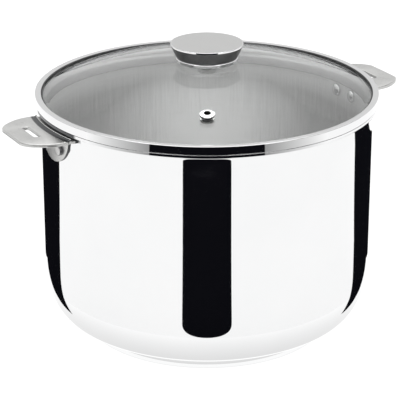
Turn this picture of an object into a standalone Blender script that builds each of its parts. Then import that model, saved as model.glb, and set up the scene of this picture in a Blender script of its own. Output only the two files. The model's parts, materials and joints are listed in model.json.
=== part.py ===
"""Stock pot with a glass lid: deep drawn steel body with a capsule base, two slotted handle brackets
riveted to the wall, and a domed glass lid with a steel rim band, a screwed knob and a steam vent.
Metres, +Z up. The origin is the middle of the base's flat underside, and the brackets lie on the X axis."""

import math

import bmesh
import bpy
from mathutils import Matrix, Vector

MM = 0.001
GAP = 0.3 * MM  # between pieces that touch on the real pot
RING_STEPS = 48  # facets round every ring that is coaxial with the pot
SMALL_STEPS = 24  # facets round the knob's and the vent's pieces

# Pot body: the heights below are measured from the shell's own underside.
BODY_RADIUS = 121.5 * MM
WALL = 1.5 * MM
CORNER_RADIUS = 61.7 * MM  # reach of the rounded bottom corner
CORNER_POWER = 3.55  # superellipse power: 2 is a round corner, larger is squarer
CORNER_POINTS = 9
BODY_HEIGHT = 170.5 * MM
LIP_RADIUS = 125.4 * MM
LIP_THICKNESS = 2.3 * MM
FLARE_START = 163.5 * MM  # where the wall starts to turn out into the lip

# Base under the shell
BASE_DROP = 5.5 * MM  # from the shell's underside down to the surface the pot stands on
CAP_RADIUS = 92.0 * MM
CAP_SHEET = 0.6 * MM
CAP_RISE = 1.2 * MM  # how far the cap's wall laps up past the shell's underside
CORE_RADIUS = 90.5 * MM

# Handle brackets, along +X
TAB_REACH = 155.5 * MM
TAB_TOP = 166.75 * MM
TAB_THICKNESS = 2.5 * MM
TAB_ROOT_HALF = 31.0 * MM
SLOT_LENGTH = 23.0 * MM
SLOT_WIDTH = 5.2 * MM
SLOT_CENTRE = 140.0 * MM
LUG_RADIUS = 20.0 * MM
LUG_BOTTOM = 142.8 * MM
LUG_THICKNESS = 3.3 * MM
UPSTAND_FRONT = 127.6 * MM
UPSTAND_BACK = 126.4 * MM
UPSTAND_TOP = 169.8 * MM
RIVET_HEIGHT = 154.3 * MM
RIVET_ANGLE = 4.9  # degrees each side of the bracket's middle
RIVET_SHANK = 2.7 * MM

# Lid
GLASS_RADIUS = 320.0 * MM  # of the dome's upper face
GLASS_THICKNESS = 4.0 * MM
GLASS_APEX = 198.8 * MM
GLASS_EDGE = 124.2 * MM
BAND_RADIUS = 125.5 * MM
BAND_TOP = 176.9 * MM
BAND_SHEET = 0.6 * MM
BAND_BOTTOM = BODY_HEIGHT + GAP
SKIRT_RADIUS = 116.4 * MM
SKIRT_BOTTOM = 161.6 * MM
KNOB_HOLE = 4.0 * MM
KNOB_RADIUS = 26.6 * MM
KNOB_FOOT_RADIUS = 22.3 * MM
KNOB_TOP = 211.7 * MM
KNOB_BOTTOM = 201.4 * MM
VENT_FROM_AXIS = 89.0 * MM
VENT_ANGLE = -118.5  # degrees from +X: midway between the brackets, towards the front
VENT_HOLE = 3.6 * MM
VENT_FLANGE = 5.6 * MM

STEEL_POLISHED = ("polished_steel", (0.80, 0.80, 0.80), 0.06, 1.0)
STEEL_SATIN = ("satin_steel", (0.62, 0.62, 0.61), 0.34, 1.0)
STEEL_BRUSHED = ("brushed_steel", (0.60, 0.60, 0.60), 0.28, 1.0)
ALUMINIUM = ("aluminium", (0.76, 0.77, 0.78), 0.40, 1.0)
GLASS = ("clear_glass", (0.92, 0.95, 0.94), 0.02, 0.0)
SILICONE = ("grey_silicone", (0.10, 0.10, 0.11), 0.60, 0.0)

parts = bpy.data.collections.new("stock_pot")
cutters = bpy.data.collections.new("cutters")


def clear_scene():
    for obj in list(bpy.data.objects):
        bpy.data.objects.remove(obj, do_unlink=True)
    for collection in (parts, cutters):
        bpy.context.scene.collection.children.link(collection)


def material(finish):
    name, colour, roughness, metallic = finish
    found = bpy.data.materials.get(name)
    if found:
        return found
    made = bpy.data.materials.new(name)
    made.use_nodes = True
    shader = made.node_tree.nodes["Principled BSDF"]
    shader.inputs["Base Color"].default_value = (*colour, 1)
    shader.inputs["Roughness"].default_value = roughness
    shader.inputs["Metallic"].default_value = metallic
    if name == "clear_glass":
        shader.inputs["Transmission Weight"].default_value = 1.0
    return made


# Profiles. Each is a list of (radius, height) points.


def arc(centre, radius, start, end, count):
    """Points on an arc, from start to end in degrees, both included."""
    points = []
    for i in range(count):
        angle = math.radians(start + (end - start) * i / (count - 1))
        points.append((centre[0] + radius * math.cos(angle), centre[1] + radius * math.sin(angle)))
    return points


def corner_profile(inset):
    """The rounded bottom corner from the wall down to the floor, moved in by the inset."""
    flat = BODY_RADIUS - CORNER_RADIUS
    points = []
    for i in range(CORNER_POINTS):
        angle = math.pi / 2 * (1 - i / (CORNER_POINTS - 1))
        across = math.sin(angle) ** (2 / CORNER_POWER)
        up = 1 - math.cos(angle) ** (2 / CORNER_POWER) if i else 1
        # The normal of a superellipse, so that the inset keeps the wall's thickness.
        normal = Vector((across ** (CORNER_POWER - 1), (1 - up) ** (CORNER_POWER - 1))).normalized()
        radius = flat + CORNER_RADIUS * across - inset * normal.x
        points.append((radius, CORNER_RADIUS * up + inset * normal.y))
    return points


def outer_wall_profile():
    """The body's outside, from the top of the lip down to the bottom corner."""
    lip_middle = BODY_HEIGHT - LIP_THICKNESS / 2
    half = LIP_THICKNESS / 2
    rim = arc((LIP_RADIUS - half, lip_middle), half, 90, -90, 6)
    flare_reach = LIP_RADIUS - half - BODY_RADIUS
    flare_drop = lip_middle - half - FLARE_START
    flare = []
    for i in range(1, 5):
        angle = math.pi / 2 * i / 4
        radius = LIP_RADIUS - half - flare_reach * math.sin(angle)
        flare.append((radius, FLARE_START + flare_drop * math.cos(angle)))
    return rim + flare + corner_profile(0)


def inner_wall_profile():
    """The body's inside, from the bottom corner up to the top of the lip."""
    inner = BODY_RADIUS - WALL
    top_radius = LIP_RADIUS - 2.6 * MM
    reach = top_radius - inner
    drop = BODY_HEIGHT - FLARE_START
    flare = []
    for i in range(5):
        angle = math.pi / 2 * i / 4
        flare.append((inner + reach * (1 - math.cos(angle)), FLARE_START + drop * math.sin(angle)))
    return corner_profile(WALL)[::-1] + flare


def dome_height(radius, below=0.0):
    """Height of the glass dome's upper face at this distance from the axis, or of a face below it."""
    sphere = GLASS_RADIUS - below
    return GLASS_APEX - GLASS_RADIUS + math.sqrt(sphere**2 - radius**2)


# Building


def mesh_object(name, mesh, collection, finish=None):
    obj = bpy.data.objects.new(name, mesh)
    collection.objects.link(obj)
    if finish and not mesh.materials:
        mesh.materials.append(material(finish))
    return obj


def turned(name, profile, finish, steps=RING_STEPS, closed=True, collection=parts, drop=BASE_DROP):
    """A shape turned about Z. A closed profile makes a ring, and an open one starts and ends on the axis."""
    mesh = bpy.data.meshes.new(name)
    points = [(radius, 0, height + drop) for radius, height in profile]
    edges = [(i, i + 1) for i in range(len(points) - 1)]
    if closed:
        edges.append((len(points) - 1, 0))
    mesh.from_pydata(points, edges, [])
    obj = mesh_object(name, mesh, collection, finish)
    screw = obj.modifiers.new("turn", "SCREW")
    screw.steps = steps
    screw.render_steps = steps
    screw.use_smooth_shade = True
    if not closed:
        screw.use_merge_vertices = True
        screw.merge_threshold = 0.00001
    return obj


def evaluated_mesh(obj):
    """A mesh of the object with its modifiers applied and its loose caps welded."""
    bpy.context.view_layer.update()
    graph = bpy.context.evaluated_depsgraph_get()
    mesh = bpy.data.meshes.new_from_object(obj.evaluated_get(graph))
    mesh.transform(obj.matrix_world)
    work = bmesh.new()
    work.from_mesh(mesh)
    bmesh.ops.remove_doubles(work, verts=work.verts, dist=0.000001)
    work.to_mesh(mesh)
    work.free()
    return mesh


def plate(name, outline, low, high, turn=None, collection=cutters):
    """A flat outline made solid between two heights, then turned into place."""
    curve = bpy.data.curves.new(name, "CURVE")
    curve.dimensions = "2D"
    curve.fill_mode = "BOTH"
    curve.extrude = (high - low) / 2
    spline = curve.splines.new("POLY")
    spline.points.add(len(outline) - 1)
    for point, (x, y) in zip(spline.points, outline):
        point.co = (x, y, 0, 1)
    spline.use_cyclic_u = True
    drawn = bpy.data.objects.new(name, curve)
    collection.objects.link(drawn)
    drawn.matrix_world = (turn or Matrix.Identity(4)) @ Matrix.Translation((0, 0, (high + low) / 2))
    mesh = evaluated_mesh(drawn)
    bpy.data.objects.remove(drawn, do_unlink=True)
    return mesh_object(name, mesh, collection)


def rod(name, radius, start, direction, length, steps=16):
    """A round cutter from a point along a direction."""
    mesh = bpy.data.meshes.new(name)
    work = bmesh.new()
    bmesh.ops.create_cone(
        work, cap_ends=True, segments=steps, radius1=radius, radius2=radius, depth=length
    )
    work.to_mesh(mesh)
    work.free()
    obj = mesh_object(name, mesh, cutters)
    axis = Vector(direction).normalized()
    obj.matrix_world = (
        Matrix.Translation(Vector(start) + axis * length / 2)
        @ axis.to_track_quat("Z", "Y").to_matrix().to_4x4()
    )
    return as_cutter(obj)


def as_cutter(obj):
    obj.hide_render = True
    obj.display_type = "WIRE"
    return obj


def boolean(obj, other, operation="DIFFERENCE"):
    step = obj.modifiers.new(operation.lower(), "BOOLEAN")
    step.operation = operation
    step.object = other
    step.solver = "EXACT"
    return obj


def smooth(obj, angle=35):
    """Smooth shading on a mesh without modifiers, with its edges kept sharp."""
    obj.data.shade_smooth()
    obj.data.set_sharp_from_angle(angle=math.radians(angle))
    return obj


def radial(angle_degrees, distance, height):
    """A frame whose +Z points out from the pot's axis, at this angle, distance and height."""
    turn = Matrix.Rotation(math.radians(angle_degrees), 4, "Z") @ Matrix.Rotation(math.pi / 2, 4, "Y")
    return Matrix.Translation((0, 0, height + BASE_DROP)) @ turn @ Matrix.Translation((0, 0, distance))


# The pot


def rivet_places():
    """(name, angle from +X) of each rivet: two on each bracket."""
    return [
        ("right_rivet_front", -RIVET_ANGLE),
        ("right_rivet_back", RIVET_ANGLE),
        ("left_rivet_front", 180 + RIVET_ANGLE),
        ("left_rivet_back", 180 - RIVET_ANGLE),
    ]


def make_pot_body():
    inner = inner_wall_profile()
    profile = [(0, WALL)] + inner + outer_wall_profile() + [(0, 0)]
    body = turned("pot_body", profile, STEEL_POLISHED, closed=False)
    for name, angle in rivet_places():
        frame = radial(angle, 0, RIVET_HEIGHT)
        start = frame @ Vector((0, 0, BODY_RADIUS - 10 * MM))
        direction = frame.to_3x3() @ Vector((0, 0, 1))
        cutter = rod("body_hole_" + name, RIVET_SHANK + GAP, start, direction, 20 * MM)
        boolean(body, cutter)


def make_rivets():
    head_base = BODY_RADIUS - WALL - 0.55 * MM
    lug_face = BODY_RADIUS + GAP + LUG_THICKNESS
    inner_head = arc((0, head_base), 4.8 * MM, -90, 0, 5)
    inner_head = [(r, head_base + (z - head_base) * 0.46) for r, z in inner_head]
    outer_head = [
        (0, lug_face + 2.4 * MM),
        (2.6 * MM, lug_face + 2.3 * MM),
        (3.4 * MM, lug_face + 1.8 * MM),
        (3.7 * MM, lug_face + 1.1 * MM),
        (3.7 * MM, lug_face + 0.35 * MM),
    ]
    shank = [(RIVET_SHANK, lug_face + 0.35 * MM), (RIVET_SHANK, head_base)]
    profile = outer_head + shank + inner_head[::-1]
    for name, angle in rivet_places():
        rivet = turned(name, profile, STEEL_SATIN, steps=16, closed=False, drop=0)
        rivet.matrix_world = radial(angle, 0, RIVET_HEIGHT)


def make_base():
    underside = -BASE_DROP
    core = [
        (0, -GAP),
        (CORE_RADIUS - 0.5 * MM, -GAP),
        (CORE_RADIUS, -GAP - 0.5 * MM),
        (CORE_RADIUS, underside + CAP_SHEET + 2 * GAP),
        (CORE_RADIUS - 0.5 * MM, underside + CAP_SHEET + GAP),
        (0, underside + CAP_SHEET + GAP),
    ]
    turned("base_core_disc", core, ALUMINIUM, closed=False)
    inside = CAP_RADIUS - CAP_SHEET
    fillet = 1.2 * MM
    inner_fillet = arc((inside - fillet / 2, underside + CAP_SHEET + fillet / 2), fillet / 2, -90, 0, 3)
    outer_fillet = arc((CAP_RADIUS - fillet, underside + fillet), fillet, 0, -90, 4)
    cap = [(0, underside + CAP_SHEET)] + inner_fillet
    cap += [(inside, CAP_RISE), (CAP_RADIUS, CAP_RISE)] + outer_fillet + [(0, underside)]
    turned("base_cap", cap, STEEL_BRUSHED, closed=False)


def tab_outline():
    """Half of the tab's plan from its root out to its end, then mirrored to the other side."""
    half = [
        (124.5 * MM, TAB_ROOT_HALF),
        (134.0 * MM, TAB_ROOT_HALF),
        (140.0 * MM, 29.6 * MM),
        (146.0 * MM, 26.4 * MM),
        (150.5 * MM, 22.8 * MM),
        (153.4 * MM, 19.2 * MM),
        (154.9 * MM, 16.0 * MM),
        (TAB_REACH, 12.0 * MM),
    ]
    return half + [(x, -y) for x, y in reversed(half)]


def slot_outline():
    straight = (SLOT_LENGTH - SLOT_WIDTH) / 2
    half = SLOT_WIDTH / 2
    far_end = arc((SLOT_CENTRE, straight), half, 0, 180, 7)
    near_end = arc((SLOT_CENTRE, -straight), half, 180, 360, 7)
    return far_end + near_end


def upstand_section():
    """Section (out, up) of the web behind the tab, with its hollow fillet and the rounded upstand."""
    fillet_out = 4.4 * MM
    fillet_up = UPSTAND_TOP - 0.6 * MM - TAB_TOP
    fillet = []
    for i in range(6):
        angle = math.pi / 2 * i / 5
        out = UPSTAND_FRONT + fillet_out * (1 - math.sin(angle))
        fillet.append((out, TAB_TOP + fillet_up * (1 - math.cos(angle))))
    middle = (UPSTAND_FRONT + UPSTAND_BACK) / 2
    half = (UPSTAND_FRONT - UPSTAND_BACK) / 2
    crest = arc((middle, UPSTAND_TOP - half), half, 30, 180, 5)
    under_lip = BODY_HEIGHT - LIP_THICKNESS - GAP
    back = [(UPSTAND_BACK, under_lip), (112.0 * MM, under_lip), (112.0 * MM, TAB_TOP - 5.0 * MM)]
    tab_under = TAB_TOP - TAB_THICKNESS
    front = [(125.0 * MM, TAB_TOP - 5.0 * MM), (127.6 * MM, tab_under), (132.0 * MM, tab_under)]
    return fillet + crest + back + front


def lug_outline():
    """The D-shaped lug seen from outside: (across, up), a half disc under a straight top."""
    centre = LUG_BOTTOM + LUG_RADIUS
    top = TAB_TOP - 3.6 * MM
    return [(LUG_RADIUS, top)] + arc((0, centre), LUG_RADIUS, 0, -180, 15) + [(-LUG_RADIUS, top)]


def make_bracket_mesh():
    """One bracket on +X. The other shares its mesh, turned half round."""
    up = Matrix.Translation((0, 0, BASE_DROP))
    across = up @ Matrix.Rotation(math.pi / 2, 4, "X")  # drawn (x, y) becomes (x, z)
    outward = up @ Matrix(((0, 0, 1, 0), (1, 0, 0, 0), (0, 1, 0, 0), (0, 0, 0, 1)))
    tab = plate("tab", tab_outline(), TAB_TOP - TAB_THICKNESS, TAB_TOP, up)
    web = plate("web", upstand_section(), -29.5 * MM, 29.5 * MM, across)
    lug = plate("lug", lug_outline(), 112.0 * MM, 130.0 * MM, outward)
    lug_face = BODY_RADIUS + GAP + LUG_THICKNESS
    sleeve_height = 40.0 * MM
    sleeve = rod("lug_sleeve", lug_face, (0, 0, LUG_BOTTOM - 10 * MM + BASE_DROP), (0, 0, 1),
                 sleeve_height, RING_STEPS)
    boolean(lug, sleeve, "INTERSECT")
    boolean(web, lug, "UNION")
    boolean(web, tab, "UNION")

    # The wall and the lip, grown by the gap, shape the bracket's back.
    clearance = []
    for radius, height in outer_wall_profile():
        clearance.append((radius + GAP, height if height > FLARE_START + 1 * MM else height - GAP))
    clearance = [(0, BODY_HEIGHT + 5 * MM), (LIP_RADIUS + GAP, BODY_HEIGHT + 5 * MM)] + clearance[3:]
    clearance.append((0, 0))
    wall = as_cutter(turned("wall_clearance", clearance, None, closed=False, collection=cutters))
    boolean(web, wall)
    slot = plate("slot", slot_outline(), TAB_TOP - 10 * MM, TAB_TOP + 10 * MM, up)
    boolean(web, slot)
    for angle in (-RIVET_ANGLE, RIVET_ANGLE):
        frame = radial(angle, 0, RIVET_HEIGHT)
        direction = frame.to_3x3() @ Vector((0, 0, 1))
        start = frame @ Vector((0, 0, BODY_RADIUS - 5 * MM))
        boolean(web, rod("bracket_hole", RIVET_SHANK + GAP, start, direction, 20 * MM))
    mesh = evaluated_mesh(web)
    mesh.name = "bracket"
    for helper in list(cutters.objects):
        if not helper.name.startswith("body_hole_"):
            bpy.data.objects.remove(helper, do_unlink=True)
    return mesh


def make_brackets():
    mesh = make_bracket_mesh()
    mesh.materials.clear()
    for name, turn in (("right_bracket", 0), ("left_bracket", math.pi)):
        bracket = mesh_object(name, mesh, parts, STEEL_SATIN)
        bracket.rotation_euler = (0, 0, turn)
        smooth(bracket)


# The lid. Its pieces hang on one empty, whose origin is on the line that the lid lifts along.


def vent_frame():
    """A frame on the middle of the glass's thickness, with +Z out along the dome's normal."""
    middle = GLASS_RADIUS - GLASS_THICKNESS / 2
    tilt = math.asin(VENT_FROM_AXIS / GLASS_RADIUS)
    dome_centre = GLASS_APEX - GLASS_RADIUS + BASE_DROP
    return (
        Matrix.Translation((0, 0, dome_centre))
        @ Matrix.Rotation(math.radians(VENT_ANGLE), 4, "Z")
        @ Matrix.Rotation(tilt, 4, "Y")
        @ Matrix.Translation((0, 0, middle))
    )


def make_glass():
    """A dome with a flat ground edge that sits in the band."""
    rest = BAND_BOTTOM + BAND_SHEET + GAP
    flat_from = math.sqrt((GLASS_RADIUS - GLASS_THICKNESS) ** 2 - (rest - GLASS_APEX + GLASS_RADIUS) ** 2)
    radii = [KNOB_HOLE + (flat_from - KNOB_HOLE) * i / 6 for i in range(7)]
    under = [(r, dome_height(r, GLASS_THICKNESS)) for r in radii]
    edge = [
        (GLASS_EDGE - 0.4 * MM, rest),
        (GLASS_EDGE, rest + 0.4 * MM),
        (GLASS_EDGE, dome_height(GLASS_EDGE) - 0.4 * MM),
    ]
    top_radii = [KNOB_HOLE + (GLASS_EDGE - 0.4 * MM - KNOB_HOLE) * i / 7 for i in range(8)]
    over = [(r, dome_height(r)) for r in reversed(top_radii)]
    profile = (under + edge + over)[::-1]
    glass = turned("lid_glass", profile, GLASS)
    frame = vent_frame()
    normal = frame.to_3x3() @ Vector((0, 0, 1))
    cutter = rod("vent_hole", VENT_HOLE, frame @ Vector((0, 0, -10 * MM)), normal, 20 * MM)
    return boolean(glass, cutter)


def make_rim_band():
    """Folded sheet: a fold over the glass edge, the outer wall, the seat flange and the skirt."""
    sheet = BAND_SHEET
    corner = 0.9 * MM
    fold = 121.0 * MM
    top_corner = arc((BAND_RADIUS - corner, BAND_TOP - corner), corner, 90, 0, 4)
    low_corner = arc((BAND_RADIUS - corner, BAND_BOTTOM + corner), corner, 0, -90, 4)
    bead = arc((SKIRT_RADIUS - sheet / 2, SKIRT_BOTTOM + 0.5 * MM), 0.5 * MM, 40, -220, 7)
    inside = SKIRT_RADIUS - sheet
    outer = [(fold, BAND_TOP)] + top_corner + low_corner
    outer += [(121.7 * MM, BAND_BOTTOM), (116.9 * MM, 168.3 * MM), (SKIRT_RADIUS, 167.5 * MM)]
    inner = [(inside, 167.8 * MM), (116.4 * MM, 168.8 * MM), (121.5 * MM, BAND_BOTTOM + sheet)]
    inner += [
        (BAND_RADIUS - sheet, BAND_BOTTOM + sheet),
        (BAND_RADIUS - sheet, BAND_TOP - sheet),
        (fold, BAND_TOP - sheet),
    ]
    return turned("lid_rim_band", outer + bead + inner, STEEL_POLISHED)


def make_edge_seal():
    """A strip under the band's fold, with a bead that shows along the fold's edge."""
    fold = 121.0 * MM
    under_fold = BAND_TOP - BAND_SHEET - GAP
    neck = fold - GAP
    bead_edge = fold - 0.9 * MM
    far = 123.8 * MM
    profile = [
        (bead_edge, BAND_TOP - 0.35 * MM),
        (neck, BAND_TOP - 0.2 * MM),
        (neck, under_fold),
        (far, under_fold),
        (far, dome_height(far) + GAP),
        (neck, dome_height(neck) + GAP),
        (bead_edge, dome_height(bead_edge) + GAP),
    ]
    return turned("lid_edge_seal", profile, SILICONE)


def make_knob():
    """The hollow knob, its seat ring and what clamps it through the hole in the glass."""
    wall = 1.2 * MM
    body = [
        (0, KNOB_TOP),
        (KNOB_RADIUS - 1.0 * MM, KNOB_TOP),
        (KNOB_RADIUS - 0.2 * MM, KNOB_TOP - 0.4 * MM),
        (KNOB_RADIUS, KNOB_TOP - 1.1 * MM),
        (KNOB_FOOT_RADIUS, KNOB_BOTTOM),
        (KNOB_FOOT_RADIUS - wall, KNOB_BOTTOM),
        (KNOB_RADIUS - wall - 0.2 * MM, KNOB_TOP - 1.6 * MM),
        (KNOB_RADIUS - 2.2 * MM, KNOB_TOP - wall),
        (0, KNOB_TOP - wall),
    ]
    made = [turned("knob_body", body, STEEL_BRUSHED, steps=RING_STEPS, closed=False)]

    insert_top = KNOB_TOP - wall - GAP
    bore = 2.3 * MM
    insert = [
        (bore, insert_top),
        (7.0 * MM, insert_top),
        (7.0 * MM, insert_top - 1.0 * MM),
        (4.6 * MM, insert_top - 1.6 * MM),
        (4.6 * MM, KNOB_BOTTOM + 0.2 * MM),
        (bore, KNOB_BOTTOM + 0.2 * MM),
    ]
    made.append(turned("knob_insert", insert, STEEL_SATIN, steps=SMALL_STEPS))

    ring_radius = 22.6 * MM
    ring = [
        (2.6 * MM, KNOB_BOTTOM - 0.35 * MM),
        (ring_radius - 0.5 * MM, KNOB_BOTTOM - 0.35 * MM),
        (ring_radius, KNOB_BOTTOM - 0.8 * MM),
        (ring_radius, GLASS_APEX + 0.1 * MM),
        (ring_radius - 0.9 * MM, GLASS_APEX + 0.1 * MM),
        (ring_radius - 0.9 * MM, KNOB_BOTTOM - 1.25 * MM),
        (2.6 * MM, KNOB_BOTTOM - 1.25 * MM),
    ]
    made.append(turned("knob_seat_ring", ring, STEEL_POLISHED, steps=RING_STEPS))

    collar = KNOB_HOLE - GAP
    bolt_hole = 2.4 * MM
    upper_top = KNOB_BOTTOM - 1.25 * MM - GAP
    upper = [
        (bolt_hole, upper_top),
        (13.0 * MM, upper_top),
        (13.0 * MM, GLASS_APEX + GAP),
        (collar, GLASS_APEX + GAP),
        (collar, GLASS_APEX - 1.8 * MM),
        (bolt_hole, GLASS_APEX - 1.8 * MM),
    ]
    made.append(turned("knob_upper_gasket", upper, SILICONE, steps=SMALL_STEPS))
    under = GLASS_APEX - GLASS_THICKNESS
    gasket_radius = 10.0 * MM
    lower_top = dome_height(gasket_radius, GLASS_THICKNESS) - GAP
    lower = [
        (bolt_hole, under + 1.8 * MM),
        (collar, under + 1.8 * MM),
        (collar, lower_top),
        (gasket_radius, lower_top),
        (gasket_radius, lower_top - 0.8 * MM),
        (bolt_hole, lower_top - 0.8 * MM),
    ]
    made.append(turned("knob_lower_gasket", lower, SILICONE, steps=SMALL_STEPS))

    washer_top = lower_top - 0.8 * MM - GAP
    washer = [
        (bolt_hole, washer_top - 0.5 * MM),
        (7.6 * MM, washer_top - 0.1 * MM),
        (8.6 * MM, washer_top),
        (9.0 * MM, washer_top - 0.4 * MM),
        (7.6 * MM, washer_top - 0.9 * MM),
        (bolt_hole, washer_top - 1.3 * MM),
    ]
    made.append(turned("knob_cup_washer", washer, STEEL_SATIN, steps=SMALL_STEPS))

    shank = 2.0 * MM
    head_top = washer_top - 1.3 * MM - GAP
    screw = [
        (0, insert_top - 1.0 * MM),
        (shank - 0.5 * MM, insert_top - 1.0 * MM),
        (shank, insert_top - 1.5 * MM),
        (shank, head_top),
        (4.0 * MM, head_top),
        (4.0 * MM, head_top - 1.4 * MM),
        (3.2 * MM, head_top - 2.2 * MM),
        (1.4 * MM, head_top - 2.5 * MM),
        (0.9 * MM, head_top - 1.4 * MM),
        (0, head_top - 1.1 * MM),
    ]
    made.append(turned("knob_screw", screw, STEEL_SATIN, steps=SMALL_STEPS, closed=False))
    return made


def make_vent():
    """The eyelet through the glass, its seal above the glass and its locking ring below."""
    half = GLASS_THICKNESS / 2
    tube = VENT_HOLE - 0.4 * MM
    bore = 1.9 * MM
    flange_under = half + 1.3 * MM
    eyelet = [
        (bore, flange_under + 0.9 * MM),
        (bore + 0.6 * MM, flange_under + 1.3 * MM),
        (4.2 * MM, flange_under + 1.1 * MM),
        (VENT_FLANGE - 0.3 * MM, flange_under + 0.6 * MM),
        (VENT_FLANGE, flange_under + 0.2 * MM),
        (VENT_FLANGE - 0.2 * MM, flange_under),
        (tube, flange_under),
        (tube, -half - 2.2 * MM),
        (bore, -half - 2.2 * MM),
    ]
    seal = [
        (VENT_HOLE, flange_under - GAP),
        (VENT_FLANGE - 0.5 * MM, flange_under - GAP),
        (VENT_FLANGE - 0.5 * MM, half + GAP),
        (VENT_HOLE, half + GAP),
    ]
    ring = [
        (VENT_HOLE, -half - 0.4 * MM),
        (5.0 * MM, -half - 0.4 * MM),
        (5.0 * MM, -half - 1.4 * MM),
        (VENT_HOLE, -half - 1.4 * MM),
    ]
    shapes = (
        ("vent_eyelet", eyelet, STEEL_POLISHED),
        ("vent_seal", seal, SILICONE),
        ("vent_backing_ring", ring, STEEL_SATIN),
    )
    made = []
    for name, profile, finish in shapes:
        piece = turned(name, profile, finish, steps=SMALL_STEPS, drop=0)
        piece.matrix_world = vent_frame()
        made.append(piece)
    return made


def make_lid():
    lid = bpy.data.objects.new("lid", None)
    parts.objects.link(lid)
    pieces = [make_glass(), make_rim_band(), make_edge_seal()] + make_knob() + make_vent()
    for piece in pieces:
        piece.parent = lid


clear_scene()
make_brackets()
make_pot_body()
make_rivets()
make_base()
make_lid()
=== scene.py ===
"""Looks for the stock pot: every visible piece is rebuilt finely where its CAD solid lies, in procedural
steel, glass and silicone, in a plain white studio. Metres, +Z up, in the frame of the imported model."""

import json
import math

import bmesh
import bpy
from mathutils import Matrix, Vector


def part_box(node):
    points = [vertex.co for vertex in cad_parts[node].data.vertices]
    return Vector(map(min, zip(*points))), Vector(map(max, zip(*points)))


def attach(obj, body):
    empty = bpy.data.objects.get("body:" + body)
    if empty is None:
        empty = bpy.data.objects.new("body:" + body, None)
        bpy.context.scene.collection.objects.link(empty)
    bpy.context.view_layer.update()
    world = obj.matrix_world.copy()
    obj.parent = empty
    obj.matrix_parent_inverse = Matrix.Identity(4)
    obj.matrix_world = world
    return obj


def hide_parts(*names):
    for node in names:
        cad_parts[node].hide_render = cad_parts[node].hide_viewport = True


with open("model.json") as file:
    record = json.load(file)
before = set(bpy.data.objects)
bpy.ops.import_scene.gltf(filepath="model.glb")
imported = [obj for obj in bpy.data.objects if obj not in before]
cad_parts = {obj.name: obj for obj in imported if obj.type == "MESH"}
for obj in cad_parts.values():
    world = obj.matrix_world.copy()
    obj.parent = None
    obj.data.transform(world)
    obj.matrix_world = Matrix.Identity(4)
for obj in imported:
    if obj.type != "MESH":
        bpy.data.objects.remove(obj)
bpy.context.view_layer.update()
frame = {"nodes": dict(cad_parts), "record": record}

MM = 0.001
FINE = 224  # facets round every ring that is coaxial with the pot
SMALL = 64  # facets round the rivets and the vent
SAME_PLACE = 0.000001  # points nearer than this are one

# Sizes that the CAD solids give
base_low, base_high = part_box("base_cap")
body_low, body_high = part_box("pot_body")
band_low, band_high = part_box("lid_rim_band")
knob_low, knob_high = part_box("knob_body")
ring_low, ring_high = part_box("knob_seat_ring")
bracket_low, bracket_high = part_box("right_bracket")
FLOOR = base_low.z
SHELL_BOTTOM = body_low.z  # the shell's underside: heights of the pot are counted from here
RIM = body_high.z - SHELL_BOTTOM
LIP_RADIUS = body_high.x

# Pot body
BODY_RADIUS = 121.5 * MM
WALL = 1.5 * MM
CORNER_RADIUS = 61.7 * MM
CORNER_POWER = 3.55
LIP_THICKNESS = 2.3 * MM
LIP_LAND = 2.6 * MM  # from the lip's edge in to where the inside starts
FLARE_START = 165.2 * MM

# Base
CAP_RADIUS = base_high.x
CAP_SHEET = 0.6 * MM

# Brackets
TAB_REACH = bracket_high.x
TAB_TOP = 166.75 * MM
TAB_THICKNESS = 2.5 * MM
TAB_ROOT_HALF = bracket_high.y
TAB_CORNERS = 1.6 * MM
TAB_EDGE = 0.45 * MM
SLOT_LENGTH = 23.0 * MM
SLOT_WIDTH = 5.2 * MM
SLOT_CENTRE = 140.0 * MM
LUG_RADIUS = 22.0 * MM
LUG_BOTTOM = bracket_low.z - SHELL_BOTTOM
LUG_THICKNESS = 2.4 * MM
UPSTAND_FRONT = 127.6 * MM
UPSTAND_BACK = 126.4 * MM
UPSTAND_TOP = TAB_TOP + 1.1 * MM
UPSTAND_HALF = 29.5 * MM
RIVET_HEIGHT = 154.3 * MM
RIVET_ANGLE = 4.9
RIVET_SHANK = 2.7 * MM
OUTER_HEAD = 4.3 * MM
INNER_HEAD = 4.8 * MM
INNER_FLATNESS = 0.46  # share of a half ball's height that the inner head keeps
GAP = 0.3 * MM
LUG_CLEARANCE = 0.15 * MM
LUG_FACE = BODY_RADIUS + GAP + LUG_THICKNESS  # distance of the lug's outer face from the axis

# Lid
GLASS_RADIUS = 320.0 * MM
GLASS_THICKNESS = 4.0 * MM
GLASS_APEX = 198.8 * MM
GLASS_EDGE = 124.2 * MM
BAND_RADIUS = band_high.x
BAND_TOP = band_high.z - SHELL_BOTTOM
BAND_SHEET = 0.6 * MM
BAND_BOTTOM = RIM + GAP
FOLD = 121.0 * MM
SKIRT_RADIUS = 116.4 * MM
SKIRT_BOTTOM = band_low.z - SHELL_BOTTOM + 0.1 * MM
KNOB_HOLE = 4.0 * MM
KNOB_RADIUS = knob_high.x
KNOB_FOOT_RADIUS = 22.3 * MM
KNOB_TOP = knob_high.z - SHELL_BOTTOM
KNOB_BOTTOM = knob_low.z - SHELL_BOTTOM
VENT_FROM_AXIS = 89.0 * MM
VENT_ANGLE = -118.5
VENT_HOLE = 3.6 * MM
VENT_FLANGE = 5.6 * MM

# Camera: the pot is seen from the front left of its brackets' line
CAMERA_AZIMUTH = 28.5  # degrees between the brackets' line and the picture's plane
CAMERA_PITCH = 21.61
CAMERA_SIDE = -5.0 * MM
CAMERA_BACK = 1290.2 * MM
CAMERA_HEIGHT = 600.1 * MM
LENS_WIDTHS = 4.63  # focal length, in widths of the picture

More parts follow.
